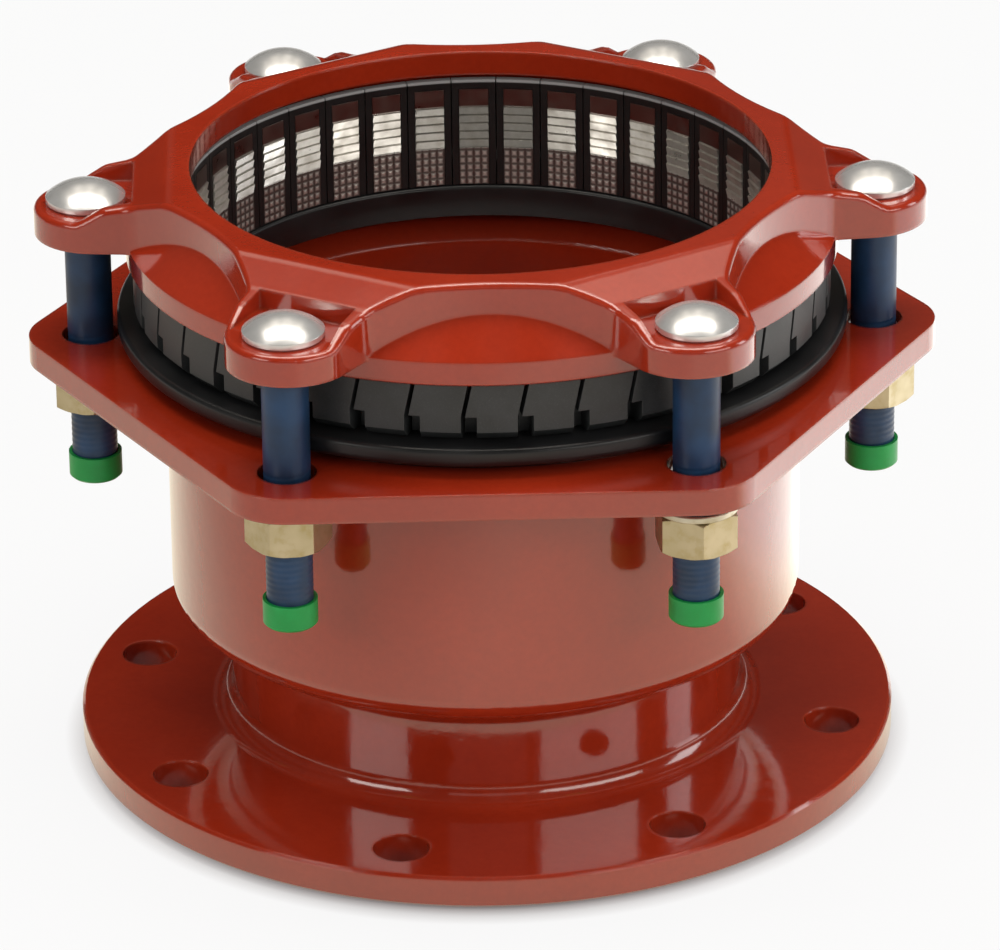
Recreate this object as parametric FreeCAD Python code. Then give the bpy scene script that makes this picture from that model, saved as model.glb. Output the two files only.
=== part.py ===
import FreeCAD, Part
import math
import os

# Restrained flange adapter for a 200 mm pipe, in millimetres.
# Origin: centre of the flange's sealing face, which stands on the ground. +Z is the pipe axis.

os.makedirs("parts", exist_ok=True)
V = FreeCAD.Vector

# Widest pipe that enters the socket
pipe_radius = 117.8

# Bolting flange
flange_edge_margin = 22.5
flange_thickness = 13.5
flange_edge_chamfer = 1.2
sealing_face_inset = 14.5
sealing_face_height = 3.0
passage_step = 17.8
flange_bolt_circle = 295.0
flange_hole_count = 8
flange_hole_radius = 11.5
flange_hole_turn = -13.7

# Neck and barrel
neck_wall = 6.5
neck_foot_round = 9.0
neck_length = 46.5
barrel_bore_gap = 4.2
barrel_wall = 8.5
shoulder_outer_round = 12.0
shoulder_inner_round = 10.0
barrel_length = 119.65

# Hexagonal bolting plate on the barrel
plate_thickness = 11.0
clamp_bolt_count = 6
clamp_bolt_turn = 1.37
bolt_skirt_gap = 6.0
plate_ear_radius = 25.4
plate_hole_clearance = 2.35
mouth_step = 17.0
mouth_half_angle = 50.2
mouth_foot_round = 2.0

# Rubber sealing ring in the mouth
gasket_bore_gap = 1.0
gasket_lip_height = 14.0
gasket_body_height = 12.15
gasket_bead_height = 8.0
gasket_bead_overhang = 10.6
gasket_toe_width = 13.6
soft_gap = 0.3

# Ring of gripper segments and their steel inserts
segment_count = 40
segment_bore_gap = 2.4
segment_thickness = 22.4
segment_face_height = 30.8
segment_foot_chamfer = 4.0
segment_height = 47.8
segment_top_wall = 3.0
segment_top_taper = 16.2
segment_joint = 0.45
joint_wall = 8.05
segment_face_width = 20.6
joint_lean = 4.2
step_height = 10.6
step_reach = 4.6
insert_width = 12.0
insert_dovetail = 1.0
insert_height = 43.6
insert_proud = 1.1
insert_depth = 5.4
tooth_rows = 5
tooth_depth = 0.8
tooth_pitch = 3.7
plain_top_height = 7.6
fit_gap = 0.15

# End ring that presses the segments inwards
ring_bore_gap = 0.5
ring_lip_height = 10.4
ring_gap = 0.4
skirt_wall = 2.3
skirt_rim_height = 10.0
skirt_rim_chamfer = 0.8
skirt_cover = 5.9
cone_wall = 3.2
ring_top_land = 8.0
ring_slope_run = 15.0
ring_slope_drop = 7.0
ridge_end_drop = 2.0
ridge_end_run = 12.0
ridge_foot_past = 3.0
top_blend = 12.0
slope_blend = 15.0
ridge_blend = 8.0
disc_past_skirt = 0.7
scallop_land = 10.2
scallop_radius = 145.0
scallop_blend = 12.0
lobe_radius = 25.5
lobe_inset = 4.2
lobe_root_width = 57.0
lobe_root_inset = 2.5
lobe_floor_drop = 15.3
lobe_thickness = 12.5
rim_round = 2.5
pocket_side_gap = 5.2
pocket_wall_gap = 2.9

# Cup-head bolts, washers, nuts and end caps
shank_radius = 9.4
head_radius = 16.3
head_rim_height = 3.0
head_height = 9.2
head_rim_chamfer = 0.8
square_neck_height = 8.0
bolt_end_chamfer = 1.0
bolt_end_drop = 61.95
washer_radius = 16.8
washer_clearance = 1.2
washer_thickness = 3.0
washer_chamfer = 0.5
nut_across_flats = 30.0
nut_height = 16.0
nut_chamfer = 2.0
nut_bore_chamfer = 1.0
thread_clearance = 0.05
bearing_gap = 0.1
loose_nut_drop = 4.85
loose_nuts = (1, 6)
nut_turns = (48.8, 20.0, 43.0, 31.8, 4.5, 36.6)
cap_wall = 1.5
cap_height = 11.0
cap_floor = 1.5
cap_chamfer = 1.0
cap_standoffs = (2.0, 2.0, 2.0, 0.1, 2.0, 3.7)

# Levels and radii worked out from the sizes above
flange_top = sealing_face_height + flange_thickness
shoulder_level = flange_top + neck_length
plate_top = shoulder_level + barrel_length
plate_bottom = plate_top - plate_thickness
flange_radius = flange_bolt_circle / 2.0 + flange_edge_margin
sealing_face_radius = flange_bolt_circle / 2.0 - sealing_face_inset
pipe_passage_radius = pipe_radius - passage_step
neck_radius = pipe_passage_radius + neck_wall
barrel_bore_radius = pipe_radius + barrel_bore_gap
barrel_radius = barrel_bore_radius + barrel_wall
mouth_radius = barrel_bore_radius + mouth_step
plate_hole_radius = shank_radius + plate_hole_clearance
mouth_slope = math.tan(math.radians(mouth_half_angle))
gasket_bore_radius = pipe_radius + gasket_bore_gap
gasket_top = plate_top + gasket_body_height
gasket_bead_reach = mouth_radius + gasket_bead_overhang
segment_bottom = gasket_top + soft_gap
segment_top = segment_bottom + segment_height
face_top = segment_bottom + segment_face_height
skirt_bottom = face_top - skirt_cover
ring_shoulder = segment_top + segment_top_wall
ring_top = ring_shoulder + ring_lip_height
segment_bore_radius = pipe_radius + segment_bore_gap
segment_face_radius = segment_bore_radius + segment_thickness
ring_bore_radius = pipe_radius + ring_bore_gap
skirt_radius = segment_face_radius + ring_gap + skirt_wall
ring_disc_radius = skirt_radius + disc_past_skirt
scallop_depth_radius = ring_bore_radius + scallop_land
clamp_radius = skirt_radius + shank_radius + bolt_skirt_gap
pocket_back = segment_bore_radius - insert_proud + insert_depth + fit_gap
inner_zone_radius = pocket_back + joint_wall
lobe_centre_radius = clamp_radius - lobe_inset
lobe_root_radius = scallop_depth_radius - lobe_root_inset
ridge_foot_radius = clamp_radius + ridge_foot_past
lobe_floor = ring_top - lobe_floor_drop
lobe_bottom = lobe_floor - lobe_thickness
segment_pitch = 360.0 / segment_count
clamp_pitch = 360.0 / clamp_bolt_count
bolt_bottom = plate_top - bolt_end_drop
past = 5.0


def rounded_wire(corners, place):
    """Closed wire through corners (a, b) or (a, b, rounding), put into space by place(a, b)."""
    count = len(corners)
    marks = []
    for i, corner in enumerate(corners):
        here = V(corner[0], corner[1], 0)
        rounding = corner[2] if len(corner) > 2 else 0.0
        if rounding == 0.0:
            marks.append((here, here, here))
            continue
        before = corners[i - 1]
        after = corners[(i + 1) % count]
        back = (V(before[0], before[1], 0) - here).normalize()
        ahead = (V(after[0], after[1], 0) - here).normalize()
        half = back.getAngle(ahead) / 2.0
        setback = rounding / math.tan(half)
        inward = (back + ahead).normalize()
        middle = here + inward * (rounding / math.sin(half) - rounding)
        marks.append((here + back * setback, middle, here + ahead * setback))
    edges = []
    for i, (start, middle, end) in enumerate(marks):
        following = marks[(i + 1) % count][0]
        if not start.isEqual(end, 1e-7):
            edges.append(Part.Arc(place(start), place(middle), place(end)).toShape())
        if not end.isEqual(following, 1e-7):
            edges.append(Part.makeLine(place(end), place(following)))
    return Part.Wire(edges)


def turned(corners, angle=360.0, start=0.0):
    """Solid of revolution about Z of a section given as (radius, height, rounding) corners."""
    wire = rounded_wire(corners, lambda p: V(p.x, 0, p.y))
    solid = Part.Face(wire).revolve(V(0, 0, 0), V(0, 0, 1), angle)
    solid.rotate(V(0, 0, 0), V(0, 0, 1), start)
    return solid


def slab(corners, low, high):
    """Flat plate of a plan outline between two heights."""
    wire = rounded_wire(corners, lambda p: V(p.x, p.y, low))
    return Part.Face(wire).extrude(V(0, 0, high - low))


def spun(shape, angle):
    copy = shape.copy()
    copy.rotate(V(0, 0, 0), V(0, 0, 1), angle)
    return copy


def column(radius, low, high, distance=0.0, angle=0.0):
    """Upright cylinder at a distance from the axis, in the direction given by angle."""
    turn = math.radians(angle)
    foot = V(distance * math.cos(turn), distance * math.sin(turn), low)
    return Part.makeCylinder(radius, high - low, foot)


def save(shape, node):
    shape.exportStep("parts/" + node + ".step")


def clamp_angle(number):
    return clamp_bolt_turn + clamp_pitch * (number - 1)


def make_flange_body():
    """One casting: flange, neck, barrel and hexagonal plate, with the stepped bore inside."""
    outside = turned([
        (0, 0),
        (sealing_face_radius, 0),
        (sealing_face_radius, sealing_face_height),
        (flange_radius - flange_edge_chamfer, sealing_face_height),
        (flange_radius, sealing_face_height + flange_edge_chamfer),
        (flange_radius, flange_top - flange_edge_chamfer),
        (flange_radius - flange_edge_chamfer, flange_top),
        (neck_radius, flange_top, neck_foot_round),
        (neck_radius, shoulder_level, shoulder_inner_round),
        (barrel_radius, shoulder_level, shoulder_outer_round),
        (barrel_radius, plate_top),
        (0, plate_top),
    ])
    ears = []
    for number in range(clamp_bolt_count):
        turn = math.radians(clamp_bolt_turn + clamp_pitch * number)
        sharp = clamp_radius + plate_ear_radius / math.cos(math.pi / clamp_bolt_count)
        ears.append((sharp * math.cos(turn), sharp * math.sin(turn), plate_ear_radius))
    body = outside.fuse(slab(ears, plate_bottom, plate_top))
    mouth_bottom = plate_top - (mouth_radius - barrel_bore_radius) / mouth_slope
    inner_shoulder = shoulder_level + barrel_wall
    passage = turned([
        (0, -past),
        (pipe_passage_radius, -past),
        (pipe_passage_radius, inner_shoulder),
        (barrel_bore_radius, inner_shoulder),
        (barrel_bore_radius, mouth_bottom, mouth_foot_round),
        (mouth_radius, plate_top),
        (mouth_radius, plate_top + past),
        (0, plate_top + past),
    ])
    tools = [passage]
    for number in range(flange_hole_count):
        angle = flange_hole_turn + 360.0 / flange_hole_count * number
        tools.append(column(flange_hole_radius, -past, flange_top + past, flange_bolt_circle / 2.0, angle))
    for number in range(1, clamp_bolt_count + 1):
        angle = clamp_angle(number)
        tools.append(column(plate_hole_radius, plate_bottom - past, plate_top + past, clamp_radius, angle))
    return body.cut(tools).removeSplitter()


def make_gasket():
    """Rubber ring: wedge in the conical mouth, lip on the pipe, and a round bead over the plate."""
    gap_run = soft_gap / math.cos(math.radians(mouth_half_angle))
    bead_foot = gasket_top - gasket_bead_height
    bead_round = gasket_bead_height / 2.0
    seat_radius = mouth_radius - gap_run
    toe_radius = barrel_bore_radius + gasket_toe_width
    toe_level = plate_top - (seat_radius - toe_radius) / mouth_slope
    lip_level = gasket_top - gasket_lip_height
    return turned([
        (gasket_bore_radius, lip_level),
        (toe_radius - gasket_toe_width, toe_level),
        (toe_radius, toe_level),
        (seat_radius, plate_top),
        (seat_radius, bead_foot),
        (gasket_bead_reach, bead_foot, bead_round),
        (gasket_bead_reach, gasket_top, bead_round),
        (gasket_bore_radius, gasket_top),
    ])


def ring_cone_corners(clearance):
    """Corners of the conical seat between segments and end ring, moved outwards by a clearance."""
    return [
        (segment_face_radius + clearance, face_top),
        (segment_face_radius - segment_top_taper + clearance, segment_top - segment_top_wall + clearance),
    ]


def dovetail(front, back, half_front, half_back, low, high):
    """Upright block between two radii, wider at the back than at the front, on the +X side."""
    corners = [(front, -half_front), (back, -half_back), (back, half_back), (front, half_front)]
    return slab(corners, low, high)


def make_segments():
    """Forty gripper segments, each with a slanted stepped joint outside and a dovetail pocket inside."""
    cone_foot, cone_head = ring_cone_corners(0.0)
    joint_angle = math.degrees(segment_joint / segment_bore_radius)
    body = turned([
        (segment_bore_radius, segment_bottom),
        (segment_face_radius - segment_foot_chamfer, segment_bottom),
        (segment_face_radius, segment_bottom + segment_foot_chamfer),
        cone_foot,
        cone_head,
        (cone_head[0] - segment_top_wall, segment_top),
        (segment_bore_radius, segment_top),
    ], 2 * segment_pitch, -segment_pitch)
    low = segment_bottom - past
    high = segment_top + past
    half_span = math.radians(segment_pitch - joint_angle) / 2.0
    outer_start = inner_zone_radius + fit_gap
    inner = slab([
        (0, 0),
        (outer_start, -outer_start * math.tan(half_span)),
        (outer_start, outer_start * math.tan(half_span)),
    ], low, high)
    left = -segment_face_width / 2.0
    right = segment_face_width / 2.0
    step = segment_bottom + step_height
    lean = joint_lean * (high - step) / (face_top - step)
    face = [
        (left + step_reach, low),
        (left + step_reach, step),
        (left, step),
        (left + lean, high),
        (right + lean, high),
        (right, step),
        (right, low),
    ]
    wire = rounded_wire(face, lambda p: V(outer_start, p.x, p.y))
    outer = Part.Face(wire).extrude(V(segment_face_radius, 0, 0))
    pocket_half = insert_width / 2.0 + fit_gap
    pocket_top = segment_bottom + insert_height + fit_gap
    pocket = dovetail(
        segment_bore_radius - insert_proud, pocket_back, pocket_half, pocket_half + insert_dovetail,
        low, pocket_top)
    segment = inner.fuse(outer).common(body).cut(pocket).removeSplitter()
    return [spun(segment, segment_pitch * k + clamp_bolt_turn) for k in range(segment_count)]


def make_inserts():
    """Forty steel inserts: dovetail strips that slide into the segments, toothed towards the pipe."""
    low = segment_bottom + 2 * fit_gap
    top = segment_bottom + insert_height
    face = segment_bore_radius - insert_proud
    back = face + insert_depth
    tooth_edge = tooth_pitch / 8.0
    section = [(back, top), (back, low), (face + tooth_depth, low)]
    for row in range(tooth_rows):
        level = top - plain_top_height - tooth_pitch * (tooth_rows - row)
        section.append((face + tooth_depth, level))
        section.append((face, level + tooth_pitch - tooth_edge))
    section.append((face + tooth_depth, top - plain_top_height))
    section.append((face + tooth_depth, top))
    wire = rounded_wire(section, lambda p: V(p.x, -insert_width, p.y))
    toothed = Part.Face(wire).extrude(V(0, 2 * insert_width, 0))
    half = insert_width / 2.0
    insert = toothed.common(dovetail(face, back, half, half + insert_dovetail, low, top))
    return [spun(insert, segment_pitch * k + clamp_bolt_turn) for k in range(segment_count)]


def lobe_plan():
    """Plan of one lobe on the +X side: a round tip with tangent sides that widen towards the ring."""
    half_root = lobe_root_width / 2.0
    to_root = V(lobe_root_radius - lobe_centre_radius, half_root, 0)
    tangent = math.atan2(to_root.y, to_root.x) - math.acos(lobe_radius / to_root.Length)
    side_x = lobe_centre_radius + lobe_radius * math.cos(tangent)
    side_y = lobe_radius * math.sin(tangent)
    root = slab([
        (0, -half_root),
        (lobe_root_radius, -half_root),
        (side_x, -side_y),
        (side_x, side_y),
        (lobe_root_radius, half_root),
        (0, half_root),
    ], lobe_bottom, ring_top)
    return root.fuse(column(lobe_radius, lobe_bottom, ring_top, lobe_centre_radius)).removeSplitter()


def ring_plan():
    """Disc with six shallow hollows and six lobes; the corners between them are blended."""
    low = lobe_bottom - past
    high = ring_top + past
    disc = column(ring_disc_radius, lobe_bottom, ring_top)
    scallop_centre = scallop_depth_radius + scallop_radius
    hollows = []
    lobes = []
    for number in range(1, clamp_bolt_count + 1):
        between = clamp_angle(number) + clamp_pitch / 2.0
        hollows.append(column(scallop_radius, low, high, scallop_centre, between))
        lobes.append(spun(lobe_plan(), clamp_angle(number)))
    plan = disc.cut(hollows).fuse(lobes).removeSplitter()
    blends = []
    for edge in plan.Edges:
        foot = edge.Vertexes[0].Point
        upright = abs(edge.tangentAt(edge.FirstParameter).z) > 0.99
        if upright and math.hypot(foot.x, foot.y) < ring_disc_radius:
            blends.append(edge)
    return plan.makeFillet(scallop_blend, blends)


def faces_beside(solid, edge):
    """Outward normals, at the middle of an edge, of the faces that meet there."""
    middle = edge.valueAt((edge.FirstParameter + edge.LastParameter) / 2.0)
    normals = []
    for face in solid.ancestorsOfType(edge, Part.Face):
        normals.append(face.normalAt(*face.Surface.parameter(middle)))
    return normals


def with_round_rim(solid):
    """Rounds every edge where an upright side meets the top."""
    rim = []
    for edge in solid.Edges:
        normals = faces_beside(solid, edge)
        uprights = [n for n in normals if abs(n.z) < 0.05]
        tops = [n for n in normals if n.z > 0.3]
        if len(uprights) == 1 and len(tops) == 1:
            rim.append(edge)
    return solid.makeFillet(rim_round, rim)


def make_end_ring():
    """One casting: flat lip, a ramp down to each lobe, conical skirt and a pocket for each bolt head."""
    cone_foot, cone_head = ring_cone_corners(ring_gap)
    slope_end = ring_bore_radius + ring_top_land + ring_slope_run
    slope_level = ring_top - ring_slope_drop
    ridge_end = slope_end + ridge_end_run
    ridge_level = slope_level - ridge_end_drop
    cone_top = cone_head[1] + cone_wall
    skirt = turned([
        (0, skirt_bottom),
        (skirt_radius - skirt_rim_chamfer, skirt_bottom),
        (skirt_radius, skirt_bottom + skirt_rim_chamfer),
        (skirt_radius, skirt_bottom + skirt_rim_height),
        (scallop_depth_radius, cone_top),
        (0, cone_top),
    ])
    reach = clamp_radius + lobe_radius + past
    ramp_side = [
        (-reach, lobe_bottom - past),
        (reach, lobe_bottom - past),
        (reach, lobe_floor),
        (ridge_foot_radius, lobe_floor, ridge_blend),
        (ridge_end, ridge_level, ridge_blend),
        (slope_end, slope_level, slope_blend),
        (ring_bore_radius + ring_top_land, ring_top, top_blend),
        (-reach, ring_top),
    ]
    ramp_wire = rounded_wire(ramp_side, lambda p: V(p.x, -reach, p.y))
    under_ramp = Part.Face(ramp_wire).extrude(V(0, 2 * reach, 0))
    upper = ring_plan()
    for number in range(1, clamp_bolt_count + 1):
        upper = upper.common(spun(under_ramp, clamp_angle(number)))
    upper = with_round_rim(upper)
    ring = upper.fuse(skirt).removeSplitter()
    tools = [turned([
        (0, skirt_bottom - past),
        (cone_foot[0], skirt_bottom - past),
        cone_foot,
        cone_head,
        (cone_head[0] - segment_top_wall, ring_shoulder),
        (ring_bore_radius, ring_shoulder),
        (ring_bore_radius, ring_top + past),
        (0, ring_top + past),
    ])]
    half_pocket = head_radius + pocket_side_gap
    pocket_wall = clamp_radius - head_radius - pocket_wall_gap
    pocket = slab([
        (pocket_wall, -half_pocket),
        (reach, -half_pocket),
        (reach, half_pocket),
        (pocket_wall, half_pocket),
    ], lobe_floor, ring_top + past)
    hole_half = shank_radius + ring_gap
    hole = slab([
        (clamp_radius - hole_half, -hole_half),
        (clamp_radius + hole_half, -hole_half),
        (clamp_radius + hole_half, hole_half),
        (clamp_radius - hole_half, hole_half),
    ], lobe_bottom - past, lobe_floor + past)
    for number in range(1, clamp_bolt_count + 1):
        tools.append(spun(pocket, clamp_angle(number)))
        tools.append(spun(hole, clamp_angle(number)))
    return ring.cut(tools).removeSplitter()


def make_bolt(number):
    """Cup-head bolt: domed head, square neck and straight shank, threaded at the end."""
    foot = lobe_floor
    dome_rise = head_height - head_rim_height
    dome = (head_radius ** 2 + dome_rise ** 2) / (2 * dome_rise)
    apex = foot + head_height
    rim = foot + head_rim_height
    slant = math.atan2(head_radius, dome - dome_rise) / 2.0
    middle = V(dome * math.sin(slant), 0, apex - dome + dome * math.cos(slant))
    points = [
        V(0, 0, apex),
        V(0, 0, foot),
        V(head_radius - head_rim_chamfer, 0, foot),
        V(head_radius, 0, foot + head_rim_chamfer),
        V(head_radius, 0, rim),
    ]
    edges = [Part.makeLine(a, b) for a, b in zip(points, points[1:])]
    edges.append(Part.Arc(points[-1], middle, points[0]).toShape())
    head = Part.Face(Part.Wire(edges)).revolve(V(0, 0, 0), V(0, 0, 1), 360)
    shank = turned([
        (0, bolt_bottom),
        (shank_radius - bolt_end_chamfer, bolt_bottom),
        (shank_radius, bolt_bottom + bolt_end_chamfer),
        (shank_radius, foot + head_rim_height),
        (0, foot + head_rim_height),
    ])
    half = shank_radius
    neck = slab([(-half, -half), (half, -half), (half, half), (-half, half)], foot - square_neck_height, foot)
    bolt = head.fuse([shank, neck]).removeSplitter()
    bolt.translate(V(clamp_radius, 0, 0))
    return spun(bolt, clamp_angle(number))


def nut_drop(number):
    return loose_nut_drop if number in loose_nuts else 0.0


def washer_level(number):
    """Underside of a washer: against the plate, or lower where its nut is still loose."""
    return plate_bottom - bearing_gap - washer_thickness - nut_drop(number)


def make_washer(number):
    low = washer_level(number)
    high = low + washer_thickness
    hole_radius = shank_radius + washer_clearance
    washer = turned([
        (hole_radius, low),
        (washer_radius - washer_chamfer, low),
        (washer_radius, low + washer_chamfer),
        (washer_radius, high - washer_chamfer),
        (washer_radius - washer_chamfer, high),
        (hole_radius, high),
    ])
    washer.translate(V(clamp_radius, 0, 0))
    return spun(washer, clamp_angle(number))


def make_nut(number):
    """Hexagon nut with corners turned off at both faces."""
    high = washer_level(number) - bearing_gap
    low = high - nut_height
    corner = nut_across_flats / 2.0 / math.cos(math.pi / 6)
    points = []
    for k in range(6):
        turn = math.radians(60 * k)
        points.append((corner * math.cos(turn), corner * math.sin(turn)))
    hexagon = slab(points, low, high)
    drop = nut_chamfer * math.tan(math.radians(30))
    turned_limit = turned([
        (0, low),
        (corner - nut_chamfer, low),
        (corner, low + drop),
        (corner, high - drop),
        (corner - nut_chamfer, high),
        (0, high),
    ])
    bore_radius = shank_radius + thread_clearance
    bore = turned([
        (0, low),
        (bore_radius + nut_bore_chamfer, low),
        (bore_radius, low + nut_bore_chamfer),
        (bore_radius, high - nut_bore_chamfer),
        (bore_radius + nut_bore_chamfer, high),
        (0, high),
    ])
    nut = hexagon.common(turned_limit).cut(bore)
    nut.rotate(V(0, 0, 0), V(0, 0, 1), nut_turns[number - 1])
    nut.translate(V(clamp_radius, 0, 0))
    return spun(nut, clamp_angle(number))


def make_end_cap(number):
    """Soft plastic cap pushed over the threaded end."""
    low = bolt_bottom - cap_floor - cap_standoffs[number - 1]
    inside = shank_radius + thread_clearance
    cap_radius = inside + cap_wall
    cap = turned([
        (0, low),
        (cap_radius - cap_chamfer, low),
        (cap_radius, low + cap_chamfer),
        (cap_radius, low + cap_height),
        (inside, low + cap_height),
        (inside, low + cap_floor),
        (0, low + cap_floor),
    ])
    cap.translate(V(clamp_radius, 0, 0))
    return spun(cap, clamp_angle(number))


save(make_flange_body(), "flange_body")
save(make_gasket(), "gasket")
save(Part.makeCompound(make_segments()), "gripper_segments")
save(Part.makeCompound(make_inserts()), "gripper_inserts")
save(make_end_ring(), "end_ring")
for bolt_number in range(1, clamp_bolt_count + 1):
    name_end = "_" + str(bolt_number)
    save(make_bolt(bolt_number), "bolt" + name_end)
    save(make_washer(bolt_number), "washer" + name_end)
    save(make_nut(bolt_number), "nut" + name_end)
    save(make_end_cap(bolt_number), "end_cap" + name_end)
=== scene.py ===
import bpy
import math
import numpy as np
from mathutils import Matrix, Vector


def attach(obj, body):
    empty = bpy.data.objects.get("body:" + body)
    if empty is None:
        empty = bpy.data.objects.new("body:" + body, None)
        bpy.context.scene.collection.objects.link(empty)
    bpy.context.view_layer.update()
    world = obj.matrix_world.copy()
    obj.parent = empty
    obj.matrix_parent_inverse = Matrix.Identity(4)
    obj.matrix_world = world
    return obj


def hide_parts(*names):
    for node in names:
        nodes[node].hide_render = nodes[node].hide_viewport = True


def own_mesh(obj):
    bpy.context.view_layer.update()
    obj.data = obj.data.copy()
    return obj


print("Loading the packed part")
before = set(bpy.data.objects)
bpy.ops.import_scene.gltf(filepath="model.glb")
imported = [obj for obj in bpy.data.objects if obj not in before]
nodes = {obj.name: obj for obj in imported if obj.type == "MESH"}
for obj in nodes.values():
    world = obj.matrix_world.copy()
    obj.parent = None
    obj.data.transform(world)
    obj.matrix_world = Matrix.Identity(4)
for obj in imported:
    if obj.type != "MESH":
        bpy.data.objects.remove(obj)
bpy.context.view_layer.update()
mm = 0.001


# sRGB hex to a linear colour
def colour(hexText):
    parts = [int(hexText[i:i + 2], 16) / 255 for i in (1, 3, 5)]
    return [c / 12.92 if c <= 0.04045 else ((c + 0.055) / 1.055) ** 2.4 for c in parts] + [1.0]


# One shader node; an input given as a socket is linked, any other value is set
def add(tree, kind, inputs=None, **settings):
    made = tree.nodes.new("ShaderNode" + kind)
    for name, value in settings.items():
        setattr(made, name, value)
    setInputs(tree, made, inputs or {})
    return made


def setInputs(tree, node, values):
    for key, value in values.items():
        if isinstance(value, bpy.types.NodeSocket):
            tree.links.new(value, node.inputs[key])
        else:
            node.inputs[key].default_value = value


def emptyTree(owner):
    owner.use_nodes = True
    owner.node_tree.nodes.clear()
    return owner.node_tree


def newMaterial(name):
    material = bpy.data.materials.new(name)
    tree = emptyTree(material)
    shader = add(tree, "BsdfPrincipled")
    add(tree, "OutputMaterial", {"Surface": shader.outputs[0]})
    return material, tree, shader


def places(tree):
    return add(tree, "TexCoord").outputs["Object"]


# Noise over real places; size is the width of one blotch in millimetres
def noise(tree, where, size, detail=3.0, roughness=0.5):
    inputs = {"Vector": where, "Scale": 1000.0 / size, "Detail": detail, "Roughness": roughness}
    return add(tree, "TexNoise", inputs).outputs["Fac"]


def spread(tree, value, fromMin, fromMax, toMin, toMax):
    limits = {"From Min": fromMin, "From Max": fromMax, "To Min": toMin, "To Max": toMax}
    return add(tree, "MapRange", {"Value": value, **limits}).outputs[0]


# The numbers are the Mix node's sockets for the share and its two colours
def blendColours(tree, share, first, second):
    return add(tree, "Mix", {0: share, 6: first, 7: second}, data_type="RGBA").outputs[2]


def calc(tree, operation, first, second=0.0, third=0.0):
    return add(tree, "Math", {0: first, 1: second, 2: third}, operation=operation).outputs[0]


# How far a place lies along a direction
def along(tree, where, direction):
    return add(tree, "VectorMath", {0: where, 1: direction}, operation="DOT_PRODUCT").outputs["Value"]


def distance(tree, where):
    return add(tree, "VectorMath", {0: where}, operation="LENGTH").outputs["Value"]


def bump(tree, height, depth, strength=1.0, normal=None):
    inputs = {"Height": height, "Distance": depth * mm, "Strength": strength}
    if normal is not None:
        inputs["Normal"] = normal
    return add(tree, "Bump", inputs).outputs[0]


def softEdges(tree, radius):
    return add(tree, "Bevel", {"Radius": radius * mm}, samples=6).outputs[0]


# How far the softened normal leans from the face's own: 0 on flats, up to 1 on edges
def edgeMask(tree, softened, gain):
    agree = along(tree, softened, add(tree, "NewGeometry").outputs["True Normal"])
    return spread(tree, agree, 1.0, 1.0 - gain, 0.0, 1.0)


print("Materials")


# Red fusion-bonded epoxy powder, melted onto hot ductile iron: a thick wet gloss over cast skin,
# with a painted highlight on the edges: a little lighter and more orange, partly where the coat draws
# thin
def makeRedEpoxy():
    material, tree, shader = newMaterial("fusion_bonded_epoxy_red")
    where = places(tree)
    cloud = spread(tree, noise(tree, where, 60.0, 2.0), 0.35, 0.65, 0.0, 1.0)
    mottle = spread(tree, noise(tree, where, 3.0, 4.0, 0.6), 0.3, 0.75, 0.0, 0.35)
    edges = softEdges(tree, 2.0)
    # Painted highlight: edges turn lighter and more orange, partly where the coat draws thin
    thinCoatAndHighlight = calc(tree, "MULTIPLY", edgeMask(tree, edges, 0.2), 0.45)
    body = blendColours(tree, cloud, colour("#a12c14"), colour("#ad3218"))
    body = blendColours(tree, mottle, body, colour("#8c2310"))
    body = blendColours(tree, thinCoatAndHighlight, body, colour("#c94a28"))
    castSkin = noise(tree, where, 11.0, 3.0, 0.55)
    orangePeel = noise(tree, where, 2.4, 2.0, 0.4)
    normal = bump(tree, castSkin, 0.26, 0.8, edges)
    normal = bump(tree, orangePeel, 0.02, 0.7, normal)
    setInputs(tree, shader, {
        "Base Color": body,
        "Roughness": spread(tree, noise(tree, where, 18.0, 3.0), 0.3, 0.7, 0.08, 0.15),
        "IOR": 1.55,
        "Coat Weight": 1.0,
        "Coat Roughness": 0.06,
        "Coat IOR": 1.55,
        "Normal": normal,
    })
    return material


# Black EPDM rubber, moulded smooth in a polished tool: soft broad shine with a faint bloom
def makeBlackRubber():
    material, tree, shader = newMaterial("moulded_epdm_rubber_black")
    where = places(tree)
    bloom = noise(tree, where, 25.0, 3.0)
    skin = noise(tree, where, 1.2, 3.0, 0.6)
    dusty = spread(tree, bloom, 0.35, 0.7, 0.0, 1.0)
    setInputs(tree, shader, {
        "Base Color": blendColours(tree, dusty, colour("#161617"), colour("#222324")),
        "Roughness": spread(tree, bloom, 0.3, 0.7, 0.28, 0.42),
        "IOR": 1.52,
        "Normal": bump(tree, skin, 0.03, 0.6),
    })
    return material


# Where the segments' finish changes, in metres: their bore side ends, and their top with painted light
# begins
segmentZones = {"boreSide": 0.1225, "backSide": 0.1235, "plainTop": 0.2415, "paintedLightTop": 0.2420}
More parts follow.
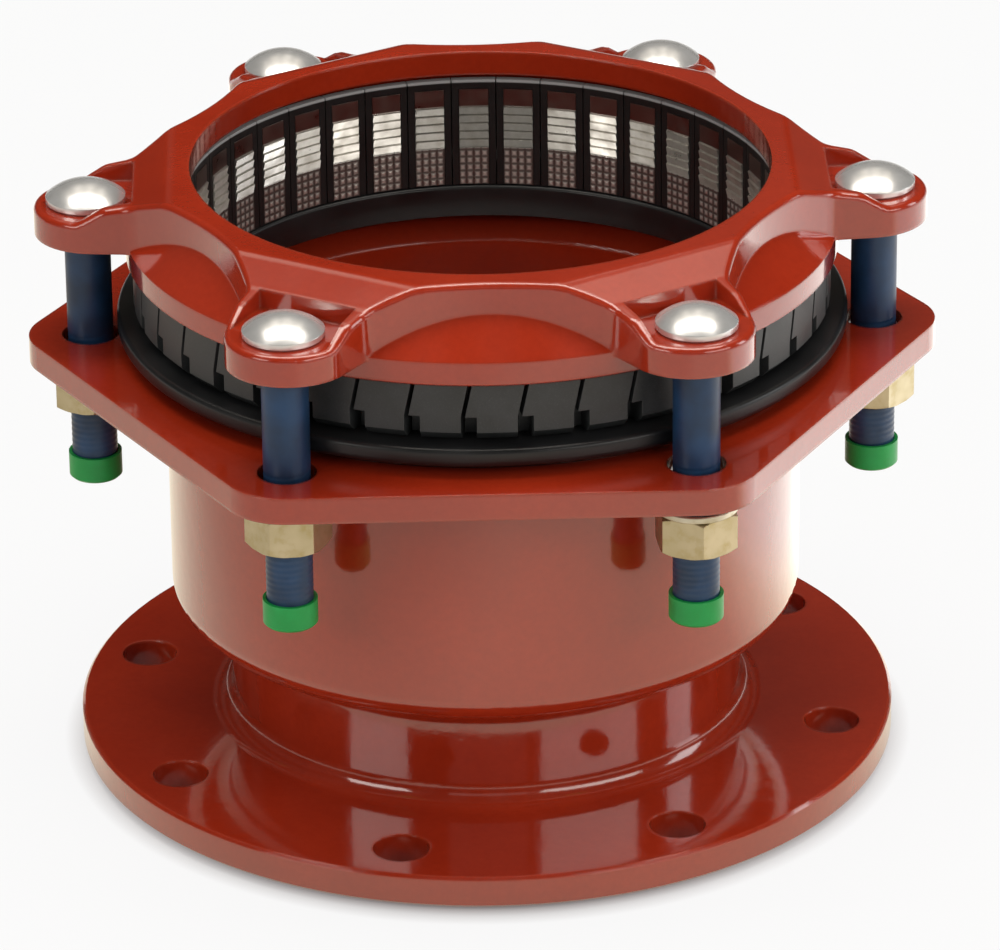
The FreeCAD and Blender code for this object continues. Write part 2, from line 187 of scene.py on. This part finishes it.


# Dark grey glass-filled nylon, injection moulded: dull, with flow marks and fibre speckle; darker in
# the bore, with a painted highlight along the edges and painted light making the top pale
def makeGreyNylon():
    z = segmentZones
    material, tree, shader = newMaterial("glass_filled_nylon_grey")
    where = places(tree)
    flow = noise(tree, where, 14.0, 4.0, 0.6)
    fibres = noise(tree, where, 0.7, 3.0, 0.7)
    edges = softEdges(tree, 0.4)
    height = add(tree, "SeparateXYZ", {0: where}).outputs[2]
    flat = add(tree, "VectorMath", {0: where, 1: (1, 1, 0)}, operation="MULTIPLY").outputs[0]
    bore = spread(tree, distance(tree, flat), z["boreSide"], z["backSide"], 1.0, 0.0)
    # Painted light: the segments' top turns pale
    paintedTopLight = spread(tree, height, z["plainTop"], z["paintedLightTop"], 0.0, 1.0)
    # Painted highlight along the segments' edges
    paintedEdgeHighlight = calc(tree, "MULTIPLY", edgeMask(tree, edges, 0.25), 0.4)
    streaks = spread(tree, flow, 0.3, 0.7, 0.0, 1.0)
    body = blendColours(tree, streaks, colour("#2c2e2f"), colour("#3c3e3f"))
    body = blendColours(tree, spread(tree, fibres, 0.55, 0.8, 0.0, 0.5), body, colour("#5a5c5c"))
    body = blendColours(tree, paintedEdgeHighlight, body, colour("#6a6c6c"))
    body = blendColours(tree, bore, body, colour("#191919"))
    body = blendColours(tree, paintedTopLight, body, colour("#b4b7b7"))
    setInputs(tree, shader, {
        "Base Color": body,
        "Roughness": spread(tree, flow, 0.3, 0.7, 0.36, 0.5),
        "IOR": 1.53,
        "Normal": bump(tree, fibres, 0.02, 0.6, edges),
    })
    return material


# Heights in metres where the inserts' zones meet; the knurl's rows in millimetres and its columns
# round the bore; how strongly the teeth lean the normal upwards
insertZones = {
    "knurlTop": 0.2118, "teethFoot": 0.2124, "teethTop": 0.2308, "landFoot": 0.2313,
    "knurlRow": 3.2, "knurlColumns": 240, "teethLean": 0.74,
}


# Machined steel strips in three zones: a dull plain land on top, bright teeth, and a knurl below,
# made of rows of small pyramids, with painted shade in the grooves and a painted brownish reflection of
# the red bore. The teeth carry saw lines that face up; they are too fine to show, so they only lean the
# normal upwards
def makeToothedSteel():
    z = insertZones
    material, tree, shader = newMaterial("machined_steel_serrated")
    where = places(tree)
    place = add(tree, "SeparateXYZ", {0: where}).outputs
    lower = spread(tree, place[2], z["knurlTop"], z["teethFoot"], 1.0, 0.0)
    land = spread(tree, place[2], z["teethTop"], z["landFoot"], 0.0, 1.0)
    teeth = calc(tree, "SUBTRACT", calc(tree, "SUBTRACT", 1.0, lower), land)
    turn = calc(tree, "ARCTAN2", place[1], place[0])
    row = calc(tree, "FRACT", calc(tree, "MULTIPLY", place[2], 1000.0 / z["knurlRow"]))
    column = calc(tree, "FRACT", calc(tree, "MULTIPLY", turn, z["knurlColumns"] / (2 * math.pi)))
    rowSide = calc(tree, "ABSOLUTE", calc(tree, "SUBTRACT", row, 0.5))
    columnSide = calc(tree, "ABSOLUTE", calc(tree, "SUBTRACT", column, 0.5))
    pyramid = calc(tree, "SUBTRACT", 0.5, calc(tree, "MAXIMUM", rowSide, columnSide))
    tarnish = noise(tree, where, 7.0, 3.0)
    dulled = spread(tree, tarnish, 0.35, 0.7, 0.0, 1.0)
    tips = spread(tree, pyramid, 0.1, 0.35, 0.0, 1.0)
    bright = blendColours(tree, dulled, colour("#eae7e0"), colour("#c9c4bb"))
    # Painted shade in the knurl's grooves, and a painted brownish reflection of the red bore
    knurlPaintedShadeAndReflection = blendColours(tree, tips, colour("#6b605b"), colour("#d3cbc4"))
    body = blendColours(tree, lower, bright, knurlPaintedShadeAndReflection)
    body = blendColours(tree, land, body, colour("#948680"))
    normal = bump(tree, calc(tree, "MULTIPLY", pyramid, lower), 0.9, 1.0, softEdges(tree, 0.15))
    lean = add(tree, "CombineXYZ", {2: calc(tree, "MULTIPLY", teeth, z["teethLean"])}).outputs[0]
    leaned = add(tree, "VectorMath", {0: normal, 1: lean}, operation="ADD").outputs[0]
    setInputs(tree, shader, {
        "Base Color": body,
        "Metallic": spread(tree, lower, 0.0, 1.0, 1.0, 0.6),
        "Roughness": spread(tree, tarnish, 0.3, 0.7, 0.27, 0.42),
        "Normal": add(tree, "VectorMath", {0: leaned}, operation="NORMALIZE").outputs[0],
    })
    return material


# Heights in metres between which the bolt's dark shank gives way to its plated head
boltZones = {"shankTop": 0.2405, "headFoot": 0.2406}


# Clamping bolt: zinc plated forged head, dulled by its clear chromate film, and dark blue baked
# fluoropolymer on the shank
def makeBoltFinish():
    material, tree, shader = newMaterial("plated_head_fluoropolymer_shank")
    where = places(tree)
    height = add(tree, "SeparateXYZ", {0: where}).outputs[2]
    head = spread(tree, height, boltZones["shankTop"], boltZones["headFoot"], 0.0, 1.0)
    forged = spread(tree, noise(tree, where, 5.0, 3.0), 0.3, 0.7, 0.0, 1.0)
    patch = spread(tree, noise(tree, where, 16.0, 3.0), 0.35, 0.7, 0.0, 1.0)
    shank = blendColours(tree, patch, colour("#1a314c"), colour("#20456c"))
    plated = blendColours(tree, forged, colour("#f6f6f5"), colour("#e9e9e7"))
    setInputs(tree, shader, {
        "Base Color": blendColours(tree, head, shank, plated),
        "Metallic": calc(tree, "MULTIPLY", head, 0.7),
        "Roughness": spread(tree, head, 0.0, 1.0, 0.4, 0.27),
        "Normal": bump(tree, noise(tree, where, 2.5, 3.0), 0.025, 0.8, softEdges(tree, 0.5)),
    })
    return material


# Zinc plate with or without yellow passivation: a pale metal that drifts between near tints
def makePlatedSteel(name, first, second, third):
    material, tree, shader = newMaterial(name)
    where = places(tree)
    drift = noise(tree, where, 12.0, 2.0)
    stain = noise(tree, where, 6.0, 3.0, 0.6)
    body = blendColours(tree, spread(tree, drift, 0.35, 0.65, 0.0, 1.0), colour(first), colour(second))
    body = blendColours(tree, spread(tree, stain, 0.5, 0.75, 0.0, 0.6), body, colour(third))
    setInputs(tree, shader, {
        "Base Color": body,
        "Metallic": 1.0,
        "Roughness": spread(tree, stain, 0.3, 0.7, 0.3, 0.45),
        "Normal": bump(tree, noise(tree, where, 1.5, 3.0), 0.03, 0.7, softEdges(tree, 0.5)),
    })
    return material


# Green low-density polyethylene, injection moulded: waxy and slightly translucent
def makeGreenPlastic():
    material, tree, shader = newMaterial("moulded_polyethylene_green")
    where = places(tree)
    cloud = noise(tree, where, 9.0, 3.0)
    paler = spread(tree, cloud, 0.35, 0.7, 0.0, 1.0)
    setInputs(tree, shader, {
        "Base Color": blendColours(tree, paler, colour("#129c47"), colour("#1bab51")),
        "Roughness": spread(tree, cloud, 0.3, 0.7, 0.36, 0.48),
        "Subsurface Weight": 0.15,
        "Subsurface Scale": 0.004,
        "IOR": 1.51,
        "Normal": bump(tree, noise(tree, where, 1.0, 2.0), 0.02, 0.6, softEdges(tree, 0.5)),
    })
    return material


redEpoxy = makeRedEpoxy()
blackRubber = makeBlackRubber()
boltFinish = makeBoltFinish()
finishes = {
    "flange_body": redEpoxy,
    "end_ring": redEpoxy,
    "gasket": blackRubber,
    "gripper_segments": makeGreyNylon(),
    "gripper_inserts": makeToothedSteel(),
    "bolt": boltFinish,
    "washer": makePlatedSteel("bright_zinc_plate", "#d9d4c6", "#c9c2ae", "#b7ab8c"),
    "nut": makePlatedSteel("yellow_passivated_zinc", "#cfc3a6", "#c3b796", "#b8a468"),
    "end_cap": makeGreenPlastic(),
}
for nodeName, piece in nodes.items():
    family = nodeName if nodeName in finishes else nodeName.rsplit("_", 1)[0]
    for materialSlot in piece.material_slots:
        materialSlot.material = finishes[family]


# Four-cornered faces between each first row and its second; the columns run round and close
def facesBetween(firstRows, secondRows, columns):
    across = np.arange(columns)
    following = (across + 1) % columns
    corners = [firstRows + across, firstRows + following, secondRows + following, secondRows + across]
    return np.stack(corners, -1).reshape(-1, 4).tolist()


# Object from a grid of points in millimetres, whose columns run round and close; its rows either
# close too or end in poles
def ringObject(name, grid, material, closedRows, sharpAngle):
    rows, columns = grid.shape[:2]
    if closedRows:
        corners = grid.reshape(-1, 3)
        firstRows = np.arange(rows)[:, None] * columns
        secondRows = ((np.arange(rows) + 1) % rows)[:, None] * columns
        faces = facesBetween(firstRows, secondRows, columns)
    else:
        middle = grid[1:-1].reshape(-1, 3)
        corners = np.vstack([middle, grid[0, :1], grid[-1, :1]])
        firstRows = np.arange(rows - 3)[:, None] * columns
        faces = facesBetween(firstRows, firstRows + columns, columns)
        across = np.arange(columns)
        following = (across + 1) % columns
        firstPole = len(middle)
        lastRow = (rows - 3) * columns
        firstFan = [np.full(columns, firstPole), following, across]
        lastFan = [np.full(columns, firstPole + 1), lastRow + across, lastRow + following]
        faces += np.stack(firstFan, -1).tolist() + np.stack(lastFan, -1).tolist()
    mesh = bpy.data.meshes.new(name)
    mesh.from_pydata((corners * mm).tolist(), [], faces)
    mesh.materials.append(material)
    mesh.shade_smooth()
    mesh.set_sharp_from_angle(angle=math.radians(sharpAngle))
    made = bpy.data.objects.new(name, mesh)
    bpy.context.scene.collection.objects.link(made)
    return made


# Points of a section: single corners, and arcs given as centre, radius, from and to in degrees, count
def profileLine(parts):
    pieces = []
    for part in parts:
        if part[0] == "arc":
            centre, radius, start, end, count = part[1:]
            turn = np.radians(np.linspace(start, end, count))
            x = centre[0] + radius * np.cos(turn)
            y = centre[1] + radius * np.sin(turn)
            pieces.append(np.stack([x, y], -1))
        else:
            pieces.append(np.array([part[1]], float))
    return np.vstack(pieces)


print("Gasket")
gasketSizes = {
    "bore": 118.8, "lipLevel": 180.8, "lipChamfer": 0.8, "lipRound": 1.5,
    "toeLevel": 180.21, "toeInner": 122.0, "toeOuter": 135.6,
    "seat": 138.53, "plateTop": 182.65, "neckRound": 0.6,
    "beadFoot": 186.8, "beadReach": 149.6, "beadTopWidth": 8.0, "top": 194.8,
    "footRound": 3.0, "topRound": 2.0,
    "squeeze": 10.0, "columns": 256, "sharpAngle": 50,
}


# Ring swept by its section: place(t, angle) = (r(t) cos angle, r(t) sin angle, z(t)), with t along the
# closed section
def makeGasket():
    g = gasketSizes
    bore, seat, top, reach, foot = g["bore"], g["seat"], g["top"], g["beadReach"], g["beadFoot"]
    chamfer, neckRound, lipRound = g["lipChamfer"], g["neckRound"], g["lipRound"]
    footRound, topRound = g["footRound"], g["topRound"]
    section = profileLine([
        ("point", (bore, g["lipLevel"] + chamfer)),
        ("point", (bore + chamfer, g["lipLevel"])),
        ("point", (g["toeInner"], g["toeLevel"])),
        ("point", (g["toeOuter"], g["toeLevel"])),
        ("point", (seat, g["plateTop"])),
        ("point", (seat, foot - neckRound)),
        ("arc", (seat + neckRound, foot - neckRound), neckRound, 180, 90, 4),
        ("arc", (reach - footRound, foot + footRound), footRound, -90, 0, 9),
        ("arc", (reach - topRound, top - topRound), topRound, 0, 90, 9),
        ("point", (reach - g["beadTopWidth"], top)),
        ("arc", (bore + lipRound, top - lipRound), lipRound, 90, 180, 7),
    ])
    turn = np.linspace(0, 2 * np.pi, g["columns"], endpoint=False)
    radius = section[:, :1]
    height = np.repeat(section[:, 1:], g["columns"], 1)
    grid = np.stack([radius * np.cos(turn), radius * np.sin(turn), height], -1)
    ring = ringObject("rubber_gasket", grid, blackRubber, True, g["sharpAngle"])
    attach(ring, "body")
    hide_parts("gasket")
    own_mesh(ring)


makeGasket()

print("Bolts")
boltSizes = {
    "count": 6, "circle": 160.7, "firstAngle": 1.37, "seat": 241.0,
    "headRadius": 16.3, "rimHeight": 3.0, "headHeight": 9.2, "rimChamfer": 0.8, "neckHeight": 8.0,
    "shank": 9.4, "bottom": 120.7, "endChamfer": 1.0,
    "threadTop": 186.0, "threadRunOut": 0.5, "threadPitch": 2.5, "threadDepth": 0.12,
    "grooveRoot": 1.25, "grooveFlank": 2.9,
    "rowStep": 0.01, "domeRows": 14, "rowsPerPitch": 10, "columns": 48, "sharpAngle": 40,
}


# Bolt as rows (radius, height) turned about its axis. In the square neck the radius is divided by
# max(|cos a|, |sin a|); in the thread it falls by depth * groove(height / pitch - angle / 2 pi),
# a right-hand helix
def makeBolt(number):
    b = boltSizes
    seat, shank, pitch, step = b["seat"], b["shank"], b["threadPitch"], b["rowStep"]
    headRadius, chamfer, threadTop = b["headRadius"], b["rimChamfer"], b["threadTop"]
    rise = b["headHeight"] - b["rimHeight"]
    dome = (headRadius ** 2 + rise ** 2) / (2 * rise)
    slant = np.linspace(0, math.asin(headRadius / dome), b["domeRows"])
    apex = seat + b["headHeight"]
    domeRows = np.stack([dome * np.sin(slant), apex - dome + dome * np.cos(slant)], -1)
    neckFoot = seat - b["neckHeight"]
    threadEnd = b["bottom"] + b["endChamfer"]
    rim = (headRadius, seat + chamfer)
    headRows = np.array([rim, (headRadius - chamfer, seat), (shank + 2 * step, seat)])
    neckRows = np.array([(shank, seat - step), (shank, neckFoot)])
    plainRows = np.array([(shank - 2 * step, neckFoot - step), (shank, threadTop + b["threadRunOut"])])
    threadCount = int((threadTop - threadEnd) / pitch * b["rowsPerPitch"])
    threadHeights = np.linspace(threadTop, threadEnd, threadCount)
    threadRows = np.stack([np.full(threadCount, shank), threadHeights], -1)
    endRows = np.array([(shank - b["endChamfer"], b["bottom"]), (0, b["bottom"])])
    rows = np.vstack([domeRows, headRows, neckRows, plainRows, threadRows, endRows])
    neckStart = len(domeRows) + len(headRows)
    threadStart = neckStart + len(neckRows) + len(plainRows)
    square = np.zeros(len(rows))
    square[neckStart:neckStart + len(neckRows)] = 1
    thread = np.zeros(len(rows))
    thread[threadStart:threadStart + threadCount] = np.clip((threadTop - threadHeights) / pitch, 0, 1)
    turn = np.linspace(0, 2 * np.pi, b["columns"], endpoint=False)
    corner = 1 / np.maximum(np.abs(np.cos(turn)), np.abs(np.sin(turn)))
    phase = (rows[:, 1:] / pitch - turn / (2 * np.pi)) % 1
    groove = np.clip(b["grooveRoot"] - b["grooveFlank"] * np.abs(phase - 0.5), 0, 1)
    radius = rows[:, :1] * (1 + square[:, None] * (corner - 1))
    radius = radius - b["threadDepth"] * thread[:, None] * groove
    angle = math.radians(b["firstAngle"] + 360 / b["count"] * (number - 1))
    x = radius * np.cos(turn + angle) + b["circle"] * math.cos(angle)
    y = radius * np.sin(turn + angle) + b["circle"] * math.sin(angle)
    grid = np.stack([x, y, np.repeat(rows[:, 1:], b["columns"], 1)], -1)[:, ::-1]
    made = ringObject(f"clamping_bolt_{number}", grid, boltFinish, False, b["sharpAngle"])
    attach(made, "clamp")
    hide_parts(f"bolt_{number}")


for boltNumber in range(1, boltSizes["count"] + 1):
    makeBolt(boltNumber)

print("Stage, light and camera")


# Camera, glossy and transmission rays see the backdrop, others get the soft daylight level
def backdropRays(tree):
    path = add(tree, "LightPath").outputs
    shown = calc(tree, "MAXIMUM", path["Is Camera Ray"], path["Is Glossy Ray"])
    return calc(tree, "MAXIMUM", shown, path["Is Transmission Ray"])


# Metres, and shares of the paper's glow: 1 is white. The last three rows hold for mirrors alone
floorSizes = {
    "half": 30.0, "drop": 0.0003, "paper": 0.65, "shadeFrom": 0.160, "shadeTo": 0.178, "glow": 0.89,
    "fadeFrom": 0.4, "fadeTo": 1.3, "farGlow": 0.15,
    "dimFrom": 0.17, "dimTo": 0.34, "dimming": -0.28, "brightFrom": 0.2, "brightTo": 0.34, "extra": 1.0,
    "neutralFrom": 0.29, "neutralTo": 0.4, "neutralShare": 0.7,
}


# The floor's glow stops under the flange, where no light comes. Mirrors find less of it the farther it
# is, less at the front left, and more at the back right, where the lit paper is brighter than white
def makeFloor():
    f = floorSizes
    half, level = f["half"], -f["drop"]
    corners = [(-half, -half, level), (half, -half, level), (half, half, level), (-half, half, level)]
    mesh = bpy.data.meshes.new("floor")
    mesh.from_pydata(corners, [], [(0, 1, 2, 3)])
    material = bpy.data.materials.new("white_sweep")
    tree = emptyTree(material)
    paper = add(tree, "BsdfDiffuse", {"Color": (f["paper"], f["paper"], f["paper"], 1)})
    path = add(tree, "LightPath").outputs
    where = places(tree)
    frontLeft = along(tree, where, (-1, -0.5, 0))
    backRight = along(tree, where, (1, 1, 0))
    dimmer = spread(tree, frontLeft, f["dimFrom"], f["dimTo"], 0.0, f["dimming"])
    brighter = spread(tree, backRight, f["brightFrom"], f["brightTo"], 0.0, f["extra"])
    lit = calc(tree, "MULTIPLY_ADD", calc(tree, "ADD", dimmer, brighter), path["Is Glossy Ray"], 1.0)
    neutral = spread(tree, backRight, f["neutralFrom"], f["neutralTo"], 0.0, f["neutralShare"])
    neutral = calc(tree, "MAXIMUM", neutral, path["Is Camera Ray"])
    tint = blendColours(tree, neutral, colour("#fff1d8"), colour("#ffffff"))
    glow = add(tree, "Emission", {"Color": tint, "Strength": lit})
    away = distance(tree, where)
    fading = spread(tree, away, f["fadeFrom"], f["fadeTo"], 1.0, f["farGlow"])
    mirrored = calc(tree, "MULTIPLY", backdropRays(tree), fading)
    seen = calc(tree, "MAXIMUM", path["Is Camera Ray"], mirrored)
    clear = spread(tree, away, f["shadeFrom"], f["shadeTo"], 0.0, f["glow"])
    share = calc(tree, "MULTIPLY", seen, clear)
    mixed = add(tree, "MixShader", {0: share, 1: paper.outputs[0], 2: glow.outputs[0]})
    add(tree, "OutputMaterial", {"Surface": mixed.outputs[0]})
    mesh.materials.append(material)
    floor = bpy.data.objects.new("floor", mesh)
    bpy.context.scene.collection.objects.link(floor)


# The ceiling's middle leans back from the zenith, in degrees; the ceiling begins and is full at cosines
# from that middle. A sine makes its panels: how fast it runs, and the height up to which a panel fades
# into a gap. The other values are shares of white
skySizes = {
    "lean": 25.0, "edge": 0.866, "full": 0.927, "outside": 0.05,
    "panelWaves": 26.0, "panelFade": 0.6, "gap": 0.3, "dayLow": 0.1, "dayTop": 0.75,
}


# Reflections find a warm white ceiling with darker gaps between its panels, and a dark studio round
# it. Soft daylight comes from the whole sky and grows to the top
def makeWorld():
    s = skySizes
    world = bpy.data.worlds.new("studio")
    bpy.context.scene.world = world
    tree = emptyTree(world)
    direction = add(tree, "TexCoord").outputs["Generated"]
    towards = add(tree, "SeparateXYZ", {0: direction}).outputs
    lean = math.radians(s["lean"])
    nearMiddle = along(tree, direction, (0, math.sin(lean), math.cos(lean)))
    seen = add(tree, "LightPath").outputs["Is Camera Ray"]
    rows = calc(tree, "SINE", calc(tree, "MULTIPLY", towards[0], s["panelWaves"]))
    panels = spread(tree, rows, -s["panelFade"], s["panelFade"], s["gap"], 1.0)
    inside = spread(tree, nearMiddle, s["edge"], s["full"], s["outside"], 1.0)
    ceiling = calc(tree, "MAXIMUM", seen, calc(tree, "MULTIPLY", panels, inside))
    daylight = spread(tree, towards[2], 0.0, 1.0, s["dayLow"], s["dayTop"])
    tint = blendColours(tree, seen, colour("#fff5e4"), colour("#ffffff"))
    soft = add(tree, "Background", {"Color": (1, 1, 1, 1), "Strength": daylight})
    white = add(tree, "Background", {"Color": tint, "Strength": ceiling})
    mixed = add(tree, "MixShader", {0: backdropRays(tree), 1: soft.outputs[0], 2: white.outputs[0]})
    add(tree, "OutputWorld", {"Surface": mixed.outputs[0]})


# Places and sizes in metres, powers in watts
softboxes = {
    "softbox_overhead": ((0, 0.17, 2.1), (2.0, 0.7), 24, "#fff8ee"),
    "softbox_front_left": ((-1.51, -1.31, 1.05), (1.0, 0.5), 6.5, "#fffaf3"),
    "softbox_front_right": ((1.45, -1.38, 1.05), (1.7, 0.5), 10, "#fffaf3"),
    "softbox_front_middle": ((0, -2.1, 1.15), (1.3, 0.5), 0.6, "#fffaf3"),
    "softbox_right": ((2.2, 0.2, 0.9), (0.6, 1.0), 6.5, "#ffffff"),
}
lampAim = (0, 0, 0.15)


def makeSoftbox(name, place, size, power, tint):
    data = bpy.data.lights.new(name, "AREA")
    data.color = colour(tint)[:3]
    data.shape = "RECTANGLE"
    data.size, data.size_y = size
    data.energy = power
    lamp = bpy.data.objects.new(name, data)
    lamp.location = place
    lamp.rotation_euler = (Vector(lampAim) - Vector(place)).to_track_quat("-Z", "Y").to_euler()
    bpy.context.scene.collection.objects.link(lamp)


# Fitted to the photograph: angles in degrees, distance and target in metres, the focal length and the
# image in pixels, the sensor in millimetres
cameraFit = {
    "elevation": 25.028, "roll": -0.657, "distance": 2.83585, "target": (0.006491, 0, 0.114374),
    "focal": 6834.98, "imageWidth": 1000, "sensorWidth": 36.0,
}


# Pinhole camera, a little rolled, far away with a long lens
def makeCamera():
    c = cameraFit
    elevation = math.radians(c["elevation"])
    roll = math.radians(c["roll"])
    back = Vector((0, -math.cos(elevation), math.sin(elevation)))
    right = Vector((1, 0, 0))
    up = Vector((0, math.sin(elevation), math.cos(elevation)))
    rolledRight = right * math.cos(roll) + up * math.sin(roll)
    rolledUp = up * math.cos(roll) - right * math.sin(roll)
    data = bpy.data.cameras.new("camera")
    data.sensor_width = c["sensorWidth"]
    data.lens = c["focal"] / c["imageWidth"] * c["sensorWidth"]
    camera = bpy.data.objects.new("camera", data)
    turned = Matrix((rolledRight, rolledUp, back)).transposed().to_4x4()
    camera.matrix_world = Matrix.Translation(Vector(c["target"]) + back * c["distance"]) @ turned
    bpy.context.scene.collection.objects.link(camera)
    bpy.context.scene.camera = camera


makeFloor()
makeWorld()
for softboxName, softbox in softboxes.items():
    makeSoftbox(softboxName, *softbox)
makeCamera()
bpy.context.scene.view_settings.view_transform = "Standard"
